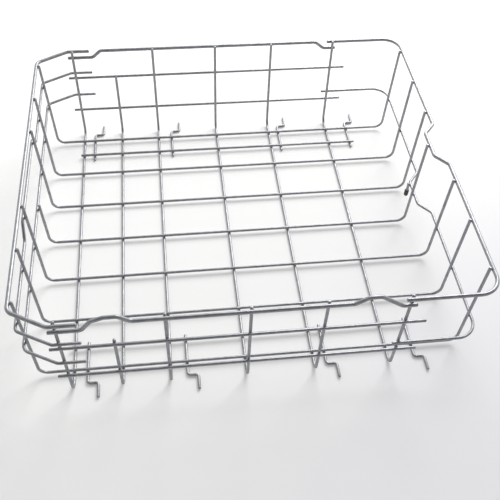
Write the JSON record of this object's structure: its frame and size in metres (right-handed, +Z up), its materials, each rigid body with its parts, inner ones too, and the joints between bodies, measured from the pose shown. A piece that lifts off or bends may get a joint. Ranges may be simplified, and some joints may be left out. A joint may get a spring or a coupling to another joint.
{
  "type": "dishwasher basket",
  "caption": "Open wire basket for the bottom of a dishwasher: welded floor grid, low walls that lean out, a hand opening in front, a recess behind and bare wheel axles at the sides.",
  "frame": {"origin": "middle of the outline, level with the undersides of the lowest floor wires", "axes": "+X from the front wall with the hand opening to the back wall with the recess, +Y across the width, +Z up"},
  "size_m": [0.57, 0.52, 0.169],
  "materials": {
    "coated_wire": "satin grey nylon coat over steel wire",
    "stub_cap": "dull dark brown"
  },
  "bodies": {
    "root": {"axle_far_1": "coated_wire", "axle_far_2": "coated_wire", "axle_far_3": "coated_wire", "axle_far_4": "coated_wire", "axle_near_1": "coated_wire", "axle_near_2": "coated_wire", "axle_near_3": "coated_wire", "axle_near_4": "coated_wire", "back_low_rail": "coated_wire", "back_rim": "coated_wire", "cross_wire_1": "coated_wire", "cross_wire_2": "coated_wire", "cross_wire_3": "coated_wire", "cross_wire_4": "coated_wire", "cross_wire_5": "coated_wire", "cross_wire_6": "coated_wire", "cross_wire_7": "coated_wire", "floor_rail_far": "coated_wire", "floor_rail_near": "coated_wire", "front_low_rail": "coated_wire", "front_mid_rail": "coated_wire", "front_rim": "coated_wire", "long_wire_1": "coated_wire", "long_wire_2": "coated_wire", "long_wire_3": "coated_wire", "long_wire_4": "coated_wire", "long_wire_5": "coated_wire", "long_wire_6": "coated_wire", "side_low_rail_far": "coated_wire", "side_low_rail_near": "coated_wire", "side_mid_rail_far": "coated_wire", "side_mid_rail_near": "coated_wire", "side_rim_far": "coated_wire", "side_rim_near": "coated_wire", "stub": "coated_wire", "stub_cap": "stub_cap"}
  },
  "joints": []
}
